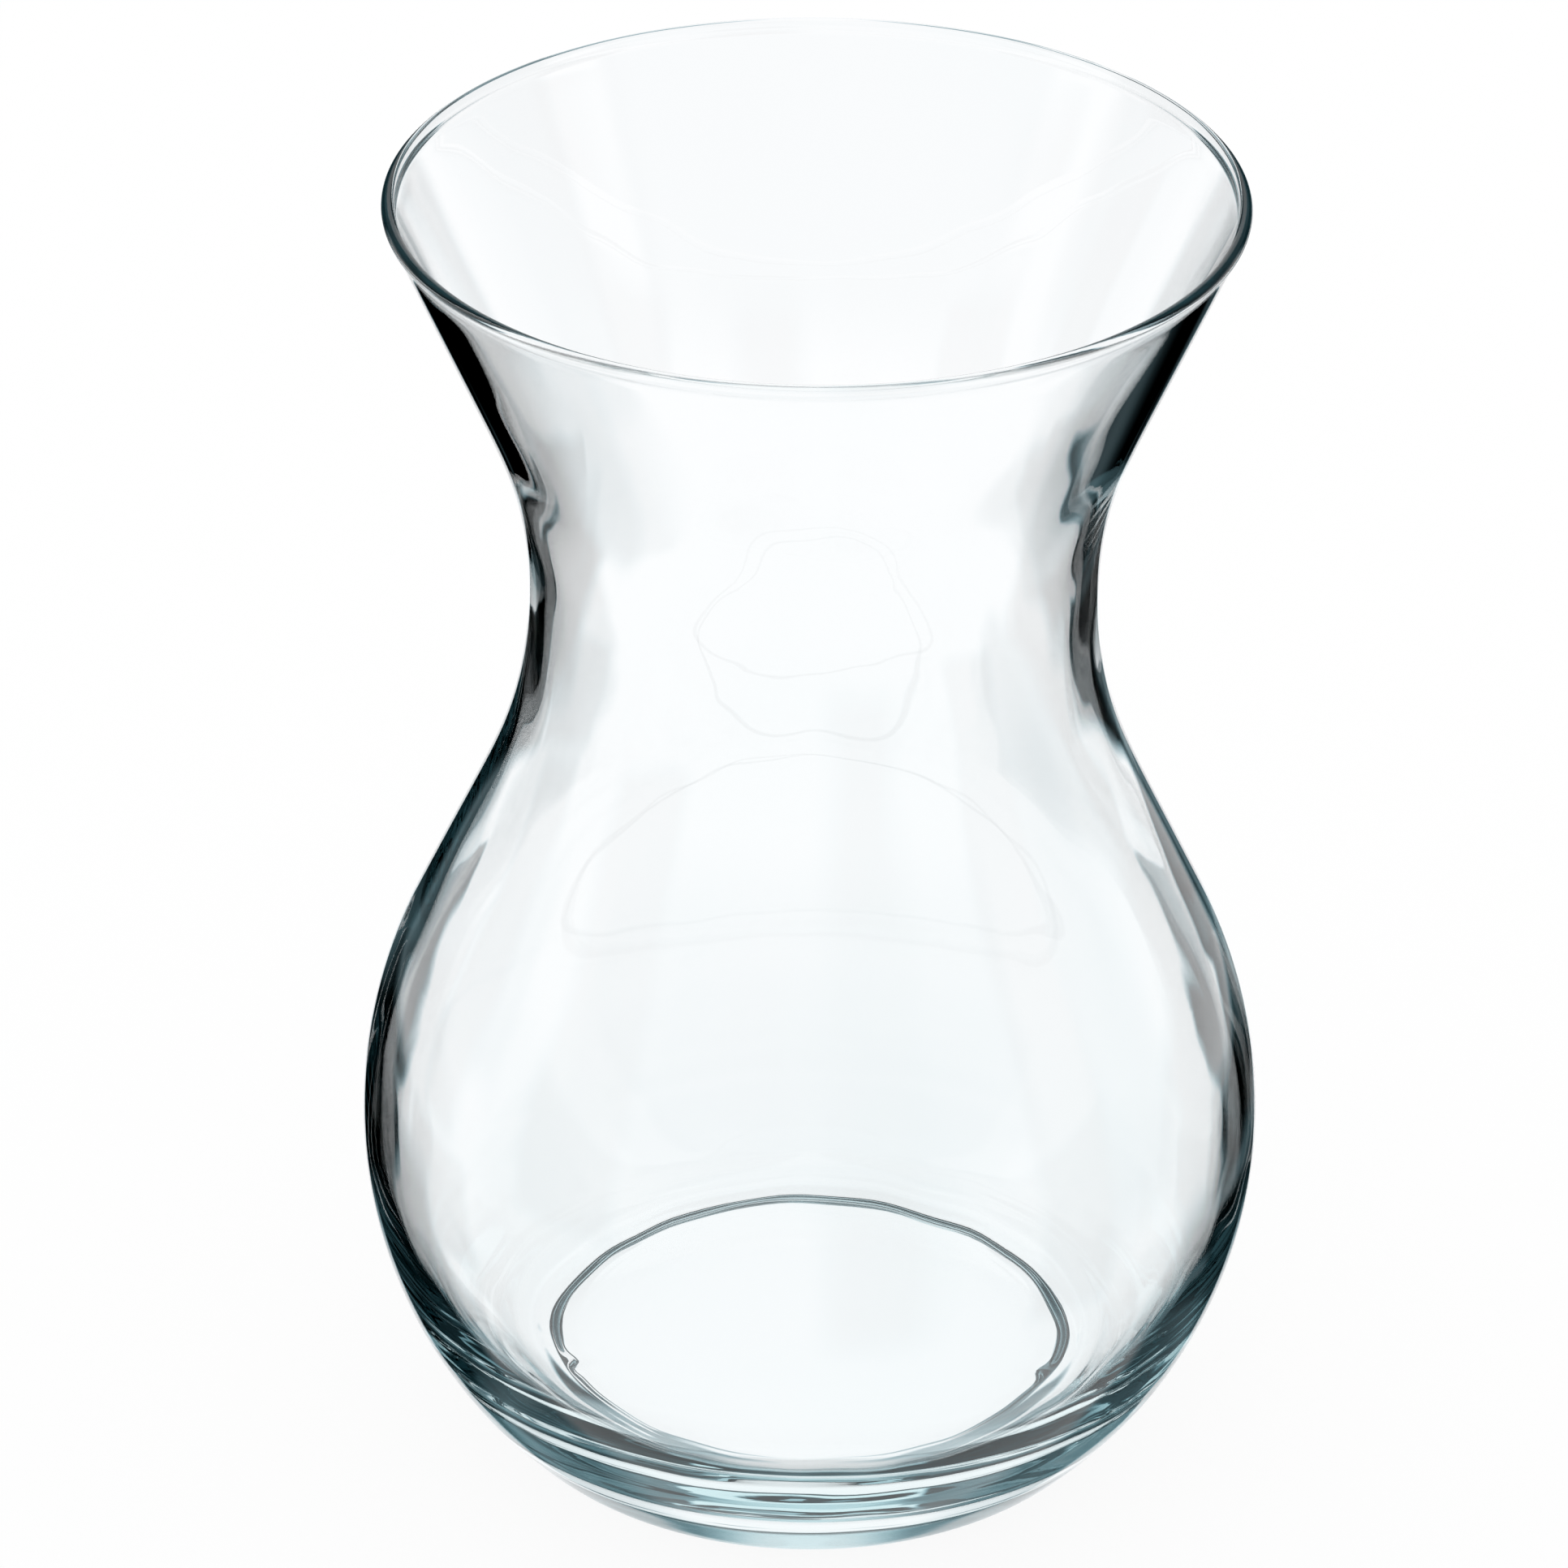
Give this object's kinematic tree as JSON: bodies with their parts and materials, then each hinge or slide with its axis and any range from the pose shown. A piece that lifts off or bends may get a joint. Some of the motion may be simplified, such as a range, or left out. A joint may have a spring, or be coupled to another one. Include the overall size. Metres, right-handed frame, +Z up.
{
  "type": "hyacinth forcing vase",
  "caption": "Clear glass forcing vase: round water reservoir, pinched waist that carries a plant bulb, and a cup that flares to a rounded lip, on a flat standing ring.",
  "frame": {"origin": "centre of the flat standing ring, on the surface that the vase stands on", "axes": "+Z up along the axis of revolution, out of the mouth; +X to the right and +Y away from the viewer, which the round shape leaves free"},
  "size_m": [0.1138, 0.1138, 0.17],
  "materials": {
    "clear_glass": "clear soda-lime glass, mould-blown, fire-polished lip, faint teal in the thick edges"
  },
  "bodies": {
    "root": {"glass_vase": "clear_glass"}
  },
  "joints": []
}
